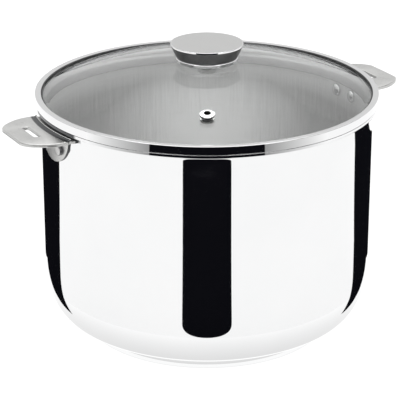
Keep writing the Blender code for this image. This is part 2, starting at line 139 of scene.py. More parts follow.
# Steels: the darkest and the lightest base colour of each
POLISHED = ((0.79, 0.795, 0.80), (0.84, 0.84, 0.84))
# painted light and shade: the inside's base colour spans this wide range
SPUN_AND_PAINTED_LIGHT = ((0.22, 0.219, 0.216), (0.95, 0.945, 0.94))
SATIN = ((0.53, 0.53, 0.52), (0.61, 0.61, 0.60))
BRUSHED = ((0.50, 0.50, 0.495), (0.58, 0.58, 0.575))
# painted shade: the knob's cone is given a dark steel where shade falls
KNOB_CONE_PAINTED_SHADE = ((0.25, 0.25, 0.255), (0.31, 0.31, 0.315))
SHADED = ((0.13, 0.13, 0.135), (0.17, 0.17, 0.175))
# painted shade: the band's underside, skirt and inside under the glass are given a dark steel
BAND_INSIDE_PAINTED_SHADE = ((0.15, 0.15, 0.15), (0.21, 0.21, 0.21))
# painted shade: the near-black that is mixed into finished steels where shade falls
PAINTED_SHADE_BLACK = (0.075, 0.077, 0.080)

# Other materials
ALUMINIUM = ((0.72, 0.73, 0.74), (0.82, 0.83, 0.84))
SILICONE = 0.055
GLASS_TINT = ((0.955, 0.97, 0.965), (0.985, 0.99, 0.99))
GLASS_SHADOW = (0.95, 0.965, 0.96)  # what the glass lets through straight
GLASS_INDEX = 1.42
NOISE_MIDDLE = (0.3, 0.7)  # most of a noise lies between these

# Light
SKY_LOW = 0.78
SKY_HIGH = 3.0
ZENITH_SHARE = 0.45  # of SKY_HIGH, straight overhead
FLOOR_GLOW = 0.97
PAPER = 0.11
SHADE_NEAR = 0.099
SHADE_FAR = 0.160
PAPER_SEEN = 1.17  # how bright the lit floor is where nothing shades it
SHADE_SEEN = 0.87  # how bright it is in the shade next to the base
FADE_SEEN = 0.36  # and beside the dark ground in front
RING_FROM = 0.5  # sines of the height in the sky: the bright ring's lower side,
RING_TO = 0.90  # its upper side,
OVERHEAD = 0.94  # and where the milder sky overhead begins

# Cards and flags: metres from the pot's axis, and degrees from the camera's direction
LIGHT_NEAR = 0.0925
FRONT_NEAR = 0.563
FRONT_FAR = 1.2
FRONT_HALF = 34.0
FADE_FAR = 0.72
FADE_END = 78.0
BEHIND_NEAR = 0.60
BEHIND_FAR = 3.9
BEHIND = (160.0, 200.0)
BEHIND_RISE = 4.0  # up to the flag's top, over the floor
BESIDE = (50.0, 115.0)
FLAG_AWAY = 2.4
FLAG_RISE = 52.0  # the same of the side flags
LOW_CARD = 0.0003  # above the floor
HIGH_CARD = 0.0006


# ---------------------------------------------------------------- materials


def nodes_for(name):
    made = bpy.data.materials.new(name)
    made.use_nodes = True
    tree = made.node_tree
    return made, tree, tree.nodes["Principled BSDF"]


def metal(name):
    made, tree, shader = nodes_for(name)
    shader.inputs["Metallic"].default_value = 1.0
    return made, tree, shader


def add(tree, kind, **values):
    node = tree.nodes.new(kind)
    for key, value in values.items():
        setattr(node, key, value)
    return node


def math_node(tree, operation, a, b=0.0):
    node = add(tree, "ShaderNodeMath", operation=operation)
    for socket, value in zip(node.inputs, (a, b)):
        if isinstance(value, (int, float)):
            socket.default_value = value
        else:
            tree.links.new(value, socket)
    return node.outputs[0]


def object_place(tree):
    """The shaded point, in the object's own coordinates."""
    return add(tree, "ShaderNodeTexCoord").outputs["Object"]


def parts(tree, vector):
    """The x, y and z of a vector."""
    node = add(tree, "ShaderNodeSeparateXYZ")
    tree.links.new(vector, node.inputs[0])
    return node.outputs


def from_axis(tree, x, y):
    """Distance from the pot's axis."""
    squares = math_node(tree, "ADD", math_node(tree, "MULTIPLY", x, x), math_node(tree, "MULTIPLY", y, y))
    return math_node(tree, "SQRT", squares)


def around_axis(tree, along, across):
    """Coordinates that run round the pot's axis: noise on them is drawn out along the turning."""
    x, y, z = parts(tree, object_place(tree))
    radius = from_axis(tree, x, y)
    angle = math_node(tree, "ARCTAN2", y, x)
    bent = add(tree, "ShaderNodeCombineXYZ")
    for socket, value, scale in zip(bent.inputs, (angle, radius, z), (along, across, across)):
        tree.links.new(math_node(tree, "MULTIPLY", value, scale), socket)
    return bent.outputs[0]


def stretched(tree, scale):
    """Object coordinates stretched by a different factor along each axis."""
    mapping = add(tree, "ShaderNodeMapping")
    mapping.inputs["Scale"].default_value = scale
    tree.links.new(object_place(tree), mapping.inputs[0])
    return mapping.outputs[0]


def noise(tree, where, scale, detail=3.0, rough=0.55):
    node = add(tree, "ShaderNodeTexNoise")
    node.inputs["Scale"].default_value = scale
    node.inputs["Detail"].default_value = detail
    node.inputs["Roughness"].default_value = rough
    tree.links.new(where, node.inputs["Vector"])
    return node.outputs["Fac"]


def ranged(tree, value, low, high, to_low, to_high):
    node = add(tree, "ShaderNodeMapRange")
    tree.links.new(value, node.inputs["Value"])
    for key, number in zip(("From Min", "From Max", "To Min", "To Max"), (low, high, to_low, to_high)):
        node.inputs[key].default_value = number
    return node.outputs["Result"]


def rises(tree, value, start, end):
    """0 up to the start, 1 from the end on, and a slope between them."""
    return ranged(tree, value, start, end, 0.0, 1.0)


def falls(tree, value, start, end):
    """1 up to the start, 0 from the end on, and a slope between them."""
    return ranged(tree, value, start, end, 1.0, 0.0)


def from_noise(tree, value, low, high):
    """Spreads the middle of a noise, where most of it lies, over the range from low to high."""
    return ranged(tree, value, *NOISE_MIDDLE, low, high)


def paint(tree, shader, share, shades):
    """Sets the base colour between two shades, by a share."""
    dark, light = shades
    node = add(tree, "ShaderNodeMix", data_type="RGBA")
    tree.links.new(share, node.inputs["Factor"])
    node.inputs["A"].default_value = (*dark, 1)
    node.inputs["B"].default_value = (*light, 1)
    tree.links.new(node.outputs["Result"], shader.inputs["Base Color"])


def paint_shade_over(made, share):
    """Paints shade over a finished steel's base colour: mixes it with near-black steel, by a share."""
    tree = made.node_tree
    base = tree.nodes["Principled BSDF"].inputs["Base Color"]
    plain = base.links[0].from_socket
    mix = add(tree, "ShaderNodeMix", data_type="RGBA")
    tree.links.new(share, mix.inputs["Factor"])
    tree.links.new(plain, mix.inputs["A"])
    mix.inputs["B"].default_value = (*PAINTED_SHADE_BLACK, 1)
    tree.links.new(mix.outputs["Result"], base)


def bump(tree, shader, height, strength, distance):
    node = add(tree, "ShaderNodeBump")
    node.inputs["Strength"].default_value = strength
    node.inputs["Distance"].default_value = distance
    tree.links.new(height, node.inputs["Height"])
    tree.links.new(node.outputs["Normal"], shader.inputs["Normal"])


def polished_steel(name="polished_steel"):
    """Mirror polish, with a faint haze and fine wiping marks."""
    made, tree, shader = metal(name)
    haze = noise(tree, object_place(tree), 18.0, 4.0)
    wipes = noise(tree, around_axis(tree, 6.0, 900.0), 1.0, 2.0)
    paint(tree, shader, haze, POLISHED)
    rough = math_node(tree, "ADD", from_noise(tree, haze, 0.012, 0.028),
                      ranged(tree, wipes, 0.4, 0.8, 0.0, 0.02))
    tree.links.new(rough, shader.inputs["Roughness"])
    return made


def body_steel():
    """The polished outside of the pot, with painted shade on the lip where the brackets stand against it.
    """
    made = polished_steel("polished_body_painted_shade")
    tree = made.node_tree
    _, y, z = parts(tree, object_place(tree))
    rim = SHELL_BOTTOM + RIM
    beside = falls(tree, math_node(tree, "ABSOLUTE", y), 30.0 * MM, 33.0 * MM)
    high = rises(tree, z, rim - 7.0 * MM, rim - 5.5 * MM)
    # painted shade: the lip is darkened beside the brackets
    paint_shade_over(made, math_node(tree, "MULTIPLY", beside, high))
    return made


def brushed_inside_painted_light():
    """Spun inside of the pot: fine lines round the axis and down the wall. The base colour is painted
    lighter in two fans, at the back and at the front, and all round near the rim, and painted darker
    towards the bottom: painted light and shade."""
    made, tree, shader = metal("brushed_inside_painted_light")
    shader.inputs["Anisotropic"].default_value = 0.6
    shader.inputs["Anisotropic Rotation"].default_value = 0.25
    tangent = add(tree, "ShaderNodeTangent", direction_type="RADIAL", axis="Z")
    tree.links.new(tangent.outputs[0], shader.inputs["Tangent"])
    lines = noise(tree, around_axis(tree, 2.0, 2600.0), 1.0, 3.0, 0.7)
    runs = noise(tree, around_axis(tree, 90.0, 25.0), 1.0, 3.0, 0.7)
    cloud = noise(tree, around_axis(tree, 1.5, 30.0), 1.0, 2.0)
    x, y, z = parts(tree, object_place(tree))
    # painted light: two bright fans set by the camera's direction, and a bright band near the rim
    back = math.radians(90 - CAMERA_AZIMUTH)
    from_back = math_node(tree, "SUBTRACT", math_node(tree, "ARCTAN2", y, x), back)
    fans_of_painted_light = math_node(tree, "COSINE", math_node(tree, "MULTIPLY", from_back, 2.0))
    share = math_node(tree, "MAXIMUM", ranged(tree, fans_of_painted_light, 0.05, 0.9, 0.0, 0.95),
                      rises(tree, z, 132.0 * MM, 163.0 * MM))
    # painted shade: darker towards the bottom
    share = math_node(tree, "MULTIPLY", share, ranged(tree, z, 10.0 * MM, 70.0 * MM, 0.1, 1.0))
    for marks in (lines, runs):
        share = math_node(tree, "ADD", share, from_noise(tree, marks, -0.10, 0.10))
    paint(tree, shader, share, SPUN_AND_PAINTED_LIGHT)
    rough = math_node(tree, "ADD", from_noise(tree, lines, 0.42, 0.52), from_noise(tree, cloud, 0.0, 0.05))
    tree.links.new(rough, shader.inputs["Roughness"])
    bump(tree, shader, lines, 0.12, 0.05 * MM)
    return made


def satin_steel(name="satin_steel", shades=SATIN):
    """Tumbled satin finish of the small fittings: a fine even grain."""
    made, tree, shader = metal(name)
    place = object_place(tree)
    grain = noise(tree, place, 2400.0, 2.0, 0.6)
    cloud = noise(tree, place, 60.0, 3.0)
    paint(tree, shader, cloud, shades)
    rough = math_node(tree, "ADD", from_noise(tree, grain, 0.24, 0.36), from_noise(tree, cloud, 0.0, 0.06))
    tree.links.new(rough, shader.inputs["Roughness"])
    bump(tree, shader, grain, 0.10, 0.04 * MM)
    return made


def bracket_steel():
    """The brackets' satin, with painted shade in the recess behind the tab and on the side by the wall."""
    made = satin_steel("bracket_satin_painted_shade")
    tree = made.node_tree
    x, y, z = parts(tree, object_place(tree))
    radius = from_axis(tree, x, y)
    tab_top = TAB_TOP + SHELL_BOTTOM
    crest = UPSTAND_TOP + SHELL_BOTTOM
    above_tab = rises(tree, z, tab_top - 0.6 * MM, tab_top - 0.3 * MM)
    below_crest = falls(tree, z, crest - 0.40 * MM, crest - 0.15 * MM)
    behind_tab = falls(tree, radius, 130.6 * MM, 131.4 * MM)
    recess = math_node(tree, "MULTIPLY", math_node(tree, "MULTIPLY", above_tab, below_crest), behind_tab)
    behind_lug = falls(tree, radius, LUG_FACE - 0.45 * MM, LUG_FACE - 0.15 * MM)
    below_tab = falls(tree, z, tab_top - 0.6 * MM, tab_top - 0.2 * MM)
    by_wall = math_node(tree, "MULTIPLY", behind_lug, below_tab)
    # painted shade: the recess and the side by the wall are darkened
    paint_shade_over(made, math_node(tree, "MAXIMUM", recess, by_wall))
    return made


def brushed_knob():
    """Straight brushing across the knob's flat top."""
    made, tree, shader = metal("brushed_knob_top")
    lines = noise(tree, stretched(tree, (60.0, 2600.0, 60.0)), 1.0, 3.0, 0.7)
    paint(tree, shader, lines, BRUSHED)
    tree.links.new(from_noise(tree, lines, 0.28, 0.42), shader.inputs["Roughness"])
    bump(tree, shader, lines, 0.12, 0.04 * MM)
    return made


def turned_aluminium():
    made, tree, shader = metal("turned_aluminium")
    lines = noise(tree, around_axis(tree, 1.0, 1800.0), 1.0, 2.0)
    paint(tree, shader, lines, ALUMINIUM)
    tree.links.new(from_noise(tree, lines, 0.32, 0.46), shader.inputs["Roughness"])
    return made


def silicone(name, shade):
    made, tree, shader = nodes_for(name)
    grain = noise(tree, object_place(tree), 1500.0)
    dark = (shade * 0.7, shade * 0.7, shade * 0.72)
    light = (shade, shade, shade * 1.03)
    paint(tree, shader, grain, (dark, light))
    tree.links.new(from_noise(tree, grain, 0.45, 0.62), shader.inputs["Roughness"])
    return made


def clear_glass():
    """Tempered glass. The light that falls through it onto other pieces goes straight on."""
    made, tree, shader = nodes_for("clear_glass")
    shader.inputs["Transmission Weight"].default_value = 1.0
    shader.inputs["IOR"].default_value = GLASS_INDEX
    smudge = noise(tree, object_place(tree), 35.0, 4.0)
    paint(tree, shader, smudge, GLASS_TINT)
    tree.links.new(ranged(tree, smudge, 0.45, 0.8, 0.0, 0.03), shader.inputs["Roughness"])
    clear = add(tree, "ShaderNodeBsdfTransparent")
    clear.inputs["Color"].default_value = (*GLASS_SHADOW, 1)
    path = add(tree, "ShaderNodeLightPath")
    straight = math_node(tree, "MAXIMUM", path.outputs["Is Shadow Ray"], path.outputs["Is Diffuse Ray"])
    mix = add(tree, "ShaderNodeMixShader")
    tree.links.new(straight, mix.inputs[0])
    tree.links.new(shader.outputs[0], mix.inputs[1])
    tree.links.new(clear.outputs[0], mix.inputs[2])
    output = tree.nodes["Material Output"]
    tree.links.new(mix.outputs[0], output.inputs["Surface"])
    return made


# ---------------------------------------------------------------- profiles: lists of (radius, height)


def arc(centre, radius, start, end, count):
    points = []
    for i in range(count):
        angle = math.radians(start + (end - start) * i / (count - 1))
        points.append((centre[0] + radius * math.cos(angle), centre[1] + radius * math.sin(angle)))
    return points


def joined(first, second):
    """Two arcs with a flat between them. A point close to each of its ends keeps it flat when shaded."""
    start, end = Vector(first[-1]), Vector(second[0])
    inset = (end - start).normalized() * 0.03 * MM
    return first + [tuple(start + inset), tuple(end - inset)] + second


def corner_profile(inset, count=40):
    """The rounded bottom corner from the wall down to the floor, moved in by the inset."""
    flat = BODY_RADIUS - CORNER_RADIUS
    points = []
    for i in range(count):
        angle = math.pi / 2 * (1 - i / (count - 1))
        across = math.sin(angle) ** (2 / CORNER_POWER)
        up = 1 - math.cos(angle) ** (2 / CORNER_POWER) if i else 1
        normal = Vector((across ** (CORNER_POWER - 1), (1 - up) ** (CORNER_POWER - 1))).normalized()
        radius = flat + CORNER_RADIUS * across - inset * normal.x
        points.append((radius, CORNER_RADIUS * up + inset * normal.y))
    return points


def flare_radius(height):
    """Radius of the body's outside between the wall and the lip."""
    reach = LIP_RADIUS - LIP_THICKNESS / 2 - BODY_RADIUS
    drop = RIM - LIP_THICKNESS - FLARE_START
    share = min(max((height - FLARE_START) / drop, 0), 1)
    return BODY_RADIUS + reach * (1 - math.sqrt(1 - share**2))


def outer_wall_profile():
    edge = 0.35 * MM
    fine = 0.12 * MM
    count = 12
    flare_top = RIM - LIP_THICKNESS
    rim = joined(arc((LIP_RADIUS - fine, RIM - fine), fine, 90, 0, 5),
                 arc((LIP_RADIUS - edge, flare_top + edge), edge, 0, -90, 7))
    flare = []
    for i in range(1, count + 1):
        height = FLARE_START + (flare_top - FLARE_START) * math.cos(math.pi / 2 * i / count)
        flare.append((flare_radius(height), height))
    wall = [(BODY_RADIUS, FLARE_START + (CORNER_RADIUS - FLARE_START) * i / count) for i in range(1, count)]
    return rim + flare + wall + corner_profile(0)


def inner_wall_profile():
    inner = BODY_RADIUS - WALL
    reach = LIP_RADIUS - LIP_LAND - inner
    drop = RIM - FLARE_START
    count = 12
    flare = []
    for i in range(count + 1):
        angle = math.pi / 2 * i / count
        flare.append((inner + reach * (1 - math.cos(angle)), FLARE_START + drop * math.sin(angle)))
    wall = [(inner, CORNER_RADIUS + (FLARE_START - CORNER_RADIUS) * i / count) for i in range(1, count)]
    return corner_profile(WALL)[::-1] + wall + flare


def dome_height(radius, below=0.0):
    return GLASS_APEX - GLASS_RADIUS + math.sqrt((GLASS_RADIUS - below) ** 2 - radius**2)


# ---------------------------------------------------------------- mesh building


def finished(name, work, finishes, sharp_angle=32):
    """A piece from a bmesh, shaded smooth with its edges kept sharp."""
    bmesh.ops.recalc_face_normals(work, faces=work.faces)
    mesh = bpy.data.meshes.new(name)
    work.to_mesh(mesh)
    work.free()
    for finish in finishes:
        mesh.materials.append(finish)
    mesh.shade_smooth()
    mesh.set_sharp_from_angle(angle=math.radians(sharp_angle))
    obj = bpy.data.objects.new(name, mesh)
    bpy.context.scene.collection.objects.link(obj)
    return obj


def turned(name, profile, finishes, steps=FINE, closed=True, zones=(), place=None, sharp=32):
    """A profile turned about Z. Where it meets the axis it closes with a point. From each of
    the zones' indices on, the faces of the profile's edges take the next material."""
    work = bmesh.new()
    rings = []
    for radius, height in profile:
        count = 1 if radius < SAME_PLACE else steps
        ring = []
        for k in range(count):
            angle = 2 * math.pi * k / steps
            ring.append(work.verts.new((radius * math.cos(angle), radius * math.sin(angle), height)))
        rings.append(ring)
    pairs = list(zip(rings, rings[1:]))
    if closed:
        pairs.append((rings[-1], rings[0]))
    for index, (low, high) in enumerate(pairs):
        for k in range(steps):
            ahead = (k + 1) % steps
            corners = ((low, k), (low, ahead), (high, ahead), (high, k))
            unique = list(dict.fromkeys(ring[at % len(ring)] for ring, at in corners))
            if len(unique) < 3:
                continue
            face = work.faces.new(unique)
            face.material_index = sum(index >= start for start in zones)
    piece = finished(name, work, finishes, sharp)
    if place is None:
        place = Matrix.Translation((0, 0, SHELL_BOTTOM))
    piece.data.transform(place)
    return piece


def bridge(work, rings):
    """Faces between neighbouring closed rings, which have the same number of points."""
    for first, second in zip(rings, rings[1:]):
        for k in range(len(first)):
            ahead = (k + 1) % len(first)
            work.faces.new((first[k], first[ahead], second[ahead], second[k]))


def close_with_tip(work, ring, tip):
    for k in range(len(ring)):
        work.faces.new((ring[k], ring[(k + 1) % len(ring)], tip))


def radial(angle_degrees, distance, height):
    """A frame whose +Z points out from the pot's axis, at this angle, distance and height."""
    turn = Matrix.Rotation(math.radians(angle_degrees), 4, "Z") @ Matrix.Rotation(math.pi / 2, 4, "Y")
    return Matrix.Translation((0, 0, height + SHELL_BOTTOM)) @ turn @ Matrix.Translation((0, 0, distance))


def settle(piece, body, slot_name, *nodes):
    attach(piece, body)
    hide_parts(*nodes)
    return piece


# ---------------------------------------------------------------- the pot


def make_pot_body(polished, brushed):
    inner = inner_wall_profile()
    outer = outer_wall_profile()
    profile = [(0, WALL)] + inner + outer + [(0, 0)]
    piece = turned("pot_shell", profile, [brushed, polished], closed=False,
                   zones=(len(inner),))
    settle(piece, "pot", "polished_steel", "pot_body")


def make_base(polished):
    underside = FLOOR - SHELL_BOTTOM
    rise = base_high.z - SHELL_BOTTOM
    inside = CAP_RADIUS - CAP_SHEET
    fillet = 1.2 * MM
    cap = [(0, underside + CAP_SHEET)]
    cap += arc((inside - fillet / 2, underside + CAP_SHEET + fillet / 2), fillet / 2, -90, 0, 6)
    cap += arc((CAP_RADIUS - CAP_SHEET / 2, rise - CAP_SHEET / 2), CAP_SHEET / 2, 180, 0, 7)
    cap += arc((CAP_RADIUS - fillet, underside + fillet), fillet, 0, -90, 9)
    cap += [(CAP_RADIUS * share, underside) for share in (0.8, 0.5, 0.2)] + [(0, underside)]
    settle(turned("base_cup", cap, [polished], closed=False), "pot", "brushed_steel", "base_cap")


def make_rivets(satin, shaded, polished):
    """The profile is (radius, distance from the pot's axis), from the outer head in to the inner one."""
    inner_base = BODY_RADIUS - WALL - 0.55 * MM
    half_ball = arc((0, inner_base), INNER_HEAD, 0, -90, 14)
    inner_head = [(radius, inner_base + (out - inner_base) * INNER_FLATNESS) for radius, out in half_ball]
    rounding = 1.1 * MM
    seat = LUG_FACE + 0.35 * MM
    outer = [(0, LUG_FACE + 2.4 * MM), (2.2 * MM, LUG_FACE + 2.33 * MM)]
    outer += arc((OUTER_HEAD - rounding, LUG_FACE + 1.2 * MM), rounding, 75, 0, 8)
    outer += [(OUTER_HEAD, seat), (RIVET_SHANK, seat), (RIVET_SHANK, inner_base)]
    profile = outer + inner_head
    side = (len(outer) - 8, len(outer) - 2)
    places = (
        ("right_rivet_front", -RIVET_ANGLE),
        ("right_rivet_back", RIVET_ANGLE),
        ("left_rivet_front", 180 + RIVET_ANGLE),
        ("left_rivet_back", 180 - RIVET_ANGLE),
    )
    for node, angle in places:
        piece = turned(node + "_formed", profile, [satin, shaded, polished], SMALL, closed=False,
                       zones=side, place=radial(angle, 0, RIVET_HEIGHT))
        settle(piece, "pot", "satin_steel", node)


def tab_outline():
    half = [
        (124.5 * MM, TAB_ROOT_HALF),
        (134.0 * MM, TAB_ROOT_HALF),
        (140.0 * MM, 29.6 * MM),
        (146.0 * MM, 26.4 * MM),
        (150.8 * MM, 23.0 * MM),
        (154.4 * MM, 18.6 * MM),
        (TAB_REACH, 15.5 * MM),
    ]
    return half + [(x, -y) for x, y in reversed(half)]


def slot_outline():
    straight = (SLOT_LENGTH - SLOT_WIDTH) / 2
    half = SLOT_WIDTH / 2
    far_end = arc((SLOT_CENTRE, straight), half, 0, 180, 17)
    near_end = arc((SLOT_CENTRE, -straight), half, 180, 360, 17)
    return far_end + near_end


def plate_mesh(name, outlines, thickness, edge):
    """A flat plate with rounded edges from closed outlines, the first outside and the others holes."""
    curve = bpy.data.curves.new(name, "CURVE")
    curve.dimensions = "2D"
    curve.fill_mode = "BOTH"
    curve.extrude = thickness / 2 - edge
    curve.bevel_depth = edge
    curve.bevel_resolution = 3
    curve.offset = -edge
    for outline in outlines:
        spline = curve.splines.new("POLY")
        spline.points.add(len(outline) - 1)
        for point, (x, y) in zip(spline.points, outline):
            point.co = (x, y, 0, 1)
        spline.use_cyclic_u = True
    drawn = bpy.data.objects.new(name, curve)
    bpy.context.scene.collection.objects.link(drawn)
    bpy.context.view_layer.update()
    graph = bpy.context.evaluated_depsgraph_get()
    mesh = bpy.data.meshes.new_from_object(drawn.evaluated_get(graph))
    bpy.data.objects.remove(drawn, do_unlink=True)
    return mesh


def rounded_outline(points, rounding, count=6):
    """Each corner of a closed outline turned into a smooth curve, no longer than half of either side."""
    made = []
    total = len(points)
    for i, point in enumerate(points):
        before, here, after = (Vector(place) for place in (points[i - 1], point, points[(i + 1) % total]))
        start = here + (before - here) * min(0.5, rounding / (before - here).length)
        end = here + (after - here) * min(0.5, rounding / (after - here).length)
        for k in range(count + 1):
            t = k / count
            made.append(tuple(start * (1 - t) ** 2 + here * 2 * t * (1 - t) + end * t**2))
    closest = 0.02 * MM
    cleaned = []
    for point in made:
        if not cleaned or (Vector(point) - Vector(cleaned[-1])).length > closest:
            cleaned.append(point)
    return cleaned


def add_tab(work):
    """The slotted tab, with its edges rounded over."""
    outline = rounded_outline(tab_outline(), TAB_CORNERS)
    mesh = plate_mesh("tab", [outline, slot_outline()], TAB_THICKNESS, TAB_EDGE)
    mesh.transform(Matrix.Translation((0, 0, TAB_TOP - TAB_THICKNESS / 2)))
    work.from_mesh(mesh)
    bpy.data.meshes.remove(mesh)


def web_section(y, shrink):
    """Section (out, up) of the web and its upstand at this distance from the bracket's middle."""
    bow = UPSTAND_FRONT - math.sqrt(UPSTAND_FRONT**2 - y**2)
    top = UPSTAND_TOP - shrink
    fillet_out = 3.6 * MM
    fillet_up = top - 0.4 * MM - TAB_TOP
    fillet_steps = 13
    section = []
    for i in range(fillet_steps + 1):
        angle = math.pi / 2 * i / fillet_steps
        out = UPSTAND_FRONT - bow - shrink + (fillet_out + shrink) * (1 - math.sin(angle))
        section.append((out, TAB_TOP + fillet_up * (1 - math.cos(angle)) - 0.01 * MM))
    half = (UPSTAND_FRONT - UPSTAND_BACK) / 2
    middle = (UPSTAND_FRONT + UPSTAND_BACK) / 2 - bow
    section += arc((middle, top - half), half - shrink * 0.5, 30, 180, 8)
    under_lip = TAB_TOP - 0.8 * MM
    section.append((UPSTAND_BACK - bow + shrink * 0.5, under_lip))
    thinner = min(max((abs(y) - 18.0 * MM) / (8.0 * MM), 0.0), 1.0)
    low = TAB_TOP - 5.0 * MM + 2.4 * MM * thinner
    wall_steps = 6
    for i in range(wall_steps + 1):
        height = under_lip + (low - under_lip) * i / wall_steps
        behind = flare_radius(height) + LUG_CLEARANCE
        section.append((math.sqrt(behind**2 - y**2), height))
    under = TAB_TOP - TAB_THICKNESS
    section += [
        (124.6 * MM - bow, low),
        (127.0 * MM - bow, under + 0.2 * MM),
        (132.0 * MM - bow, under + 0.01 * MM),
    ]
    return section


def add_web(work):
    """The web behind the tab, following the wall, with the hollow fillet and the upstand on top."""
    edge = 0.5 * MM
    count = 28
    ending = [(UPSTAND_HALF + edge * 0.6, edge * 0.4), (UPSTAND_HALF + edge, edge)]
    stations = [(-y, shrink) for y, shrink in reversed(ending)]
    stations += [(-UPSTAND_HALF + 2 * UPSTAND_HALF * i / count, 0.0) for i in range(count + 1)]
    stations += ending
    rings = []
    for y, shrink in stations:
        rings.append([work.verts.new((x, y, z)) for x, z in web_section(y, shrink)])
    bridge(work, rings)
    work.faces.new(rings[0])
    work.faces.new(rings[-1][::-1])


def lug_outline():
    """The D of the lug, flattened out: (round the wall, up)."""
    centre = LUG_BOTTOM + LUG_RADIUS
    top = TAB_TOP - 3.2 * MM
    sides = 6
    across = 24
    half_round = arc((0, centre), LUG_RADIUS, 0, -180, 49)
    left = [(-LUG_RADIUS, centre + (top - centre) * i / sides) for i in range(1, sides + 1)]
    over = [(-LUG_RADIUS + 2 * LUG_RADIUS * i / across, top) for i in range(1, across)]
    right = [(LUG_RADIUS, top - (top - centre) * i / sides) for i in range(sides)]
    return half_round + left + over + right


def add_lug(work):
    """The D-shaped lug: a half disc bent round the wall, thick enough for the rivets."""
    middle = Vector((0, LUG_BOTTOM + LUG_RADIUS - 4 * MM))
    inner_face = BODY_RADIUS + LUG_CLEARANCE
    edge = 0.5 * MM
    edge_steps = 5
    rows = [(0.999, inner_face), (1.0, inner_face + 0.1 * MM), (1.0, LUG_FACE - edge)]
    for i in range(1, edge_steps + 1):
        angle = math.pi / 2 * i / edge_steps
        share = 1 - edge / LUG_RADIUS * (1 - math.cos(angle))
        rows.append((share, LUG_FACE - edge * (1 - math.sin(angle))))
    rows += [(share, LUG_FACE) for share in (0.9, 0.75, 0.6, 0.45, 0.3, 0.15)]

    def bent(point, distance):
        angle = point.x / BODY_RADIUS
        return (distance * math.cos(angle), distance * math.sin(angle), point.y)

    rings = []
    for share, distance in rows:
        ring = []
        for point in lug_outline():
            flat = middle + (Vector(point) - middle) * share
            ring.append(work.verts.new(bent(flat, distance)))
        rings.append(ring)
    bridge(work, rings)
    close_with_tip(work, rings[-1], work.verts.new(bent(middle, LUG_FACE)))
    close_with_tip(work, rings[0][::-1], work.verts.new(bent(middle, inner_face)))


def make_brackets(steel):
    for node, turn in (("right_bracket", 0.0), ("left_bracket", math.pi)):
        work = bmesh.new()
        add_tab(work)
        add_web(work)
        add_lug(work)
        bmesh.ops.remove_doubles(work, verts=work.verts, dist=SAME_PLACE)
        piece = finished(node + "_cast", work, [steel], 40)
        piece.data.transform(Matrix.Rotation(turn, 4, "Z") @ Matrix.Translation((0, 0, SHELL_BOTTOM)))
        settle(piece, "pot", "satin_steel", node)
        piece.visible_glossy = False


# ---------------------------------------------------------------- the lid


def vent_frame():
    middle = GLASS_RADIUS - GLASS_THICKNESS / 2
    tilt = math.asin(VENT_FROM_AXIS / GLASS_RADIUS)
    return (
        Matrix.Translation((0, 0, GLASS_APEX - GLASS_RADIUS + SHELL_BOTTOM))
        @ Matrix.Rotation(math.radians(VENT_ANGLE), 4, "Z")
        @ Matrix.Rotation(tilt, 4, "Y")
        @ Matrix.Translation((0, 0, middle))
    )


def make_glass(glass):
    rest = BAND_BOTTOM + BAND_SHEET + GAP
    flat_from = math.sqrt((GLASS_RADIUS - GLASS_THICKNESS) ** 2 - (rest - GLASS_APEX + GLASS_RADIUS) ** 2)
    bevel = 0.4 * MM
    count = 40
    under = []
    over = []
    for i in range(count + 1):
        radius = KNOB_HOLE + (flat_from - KNOB_HOLE) * i / count
        under.append((radius, dome_height(radius, GLASS_THICKNESS)))
        radius = GLASS_EDGE - bevel + (KNOB_HOLE - GLASS_EDGE + bevel) * i / count
        over.append((radius, dome_height(radius)))
    edge = arc((GLASS_EDGE - bevel, rest + bevel), bevel, -90, 0, 5)
    edge += [(GLASS_EDGE, dome_height(GLASS_EDGE) - bevel)]
    piece = turned("glass_dome", under + edge + over, [glass])
    settle(piece, "lid", "clear_glass", "lid_glass")


def make_rim_band(polished, band_inside_shade, shaded):
    """The folded band: from over the glass out, down, in above the pot's lip, and down as the skirt."""
    sheet = BAND_SHEET
    corner = 0.3 * MM
    fine = 0.12 * MM
    bead = 0.5 * MM
    skirt_inside = SKIRT_RADIUS - sheet
    fold = arc((FOLD + sheet / 2, BAND_TOP - sheet / 2), sheet / 2, 180, 90, 6)
    top_corner = arc((BAND_RADIUS - corner, BAND_TOP - corner), corner, 90, 0, 9)
    low_corner = arc((BAND_RADIUS - fine, BAND_BOTTOM + fine), fine, 0, -90, 5)
    outer = joined(joined(fold, top_corner), low_corner)
    outer += [(121.7 * MM, BAND_BOTTOM), (116.9 * MM, 168.3 * MM), (SKIRT_RADIUS, 167.5 * MM)]
    skirt_end = arc((SKIRT_RADIUS - sheet / 2, SKIRT_BOTTOM + bead), bead, 40, -220, 17)
    inner = [
        (skirt_inside, 167.8 * MM),
        (116.4 * MM, 168.8 * MM),
        (121.5 * MM, BAND_BOTTOM + sheet),
        (BAND_RADIUS - sheet, BAND_BOTTOM + sheet),
        (BAND_RADIUS - sheet, BAND_TOP - sheet),
        (FOLD + 0.1 * MM, BAND_TOP - sheet),
    ]
    # painted shade on the fold's inner edge, and on the band's underside, skirt and inside
    piece = turned("rim_band_folded", outer + skirt_end + inner, [shaded, polished, band_inside_shade],
                   zones=(4, len(outer) - 3), sharp=40)
    settle(piece, "lid", "polished_steel", "lid_rim_band")


def make_edge_seal(rubber):
    under_fold = BAND_TOP - BAND_SHEET - GAP
    neck = FOLD - GAP
    bead_edge = FOLD - 0.55 * MM
    far = 123.8 * MM
    profile = [
        (bead_edge, BAND_TOP - 0.5 * MM),
        (bead_edge + 0.15 * MM, BAND_TOP - 0.35 * MM),
        (neck, BAND_TOP - 0.3 * MM),
        (neck, under_fold),
        (far, under_fold),
        (far, dome_height(far) + GAP),
        (neck, dome_height(neck) + GAP),
        (bead_edge, dome_height(bead_edge) + GAP),
    ]
    settle(turned("edge_seal_strip", profile, [rubber]), "lid", "grey_silicone", "lid_edge_seal")


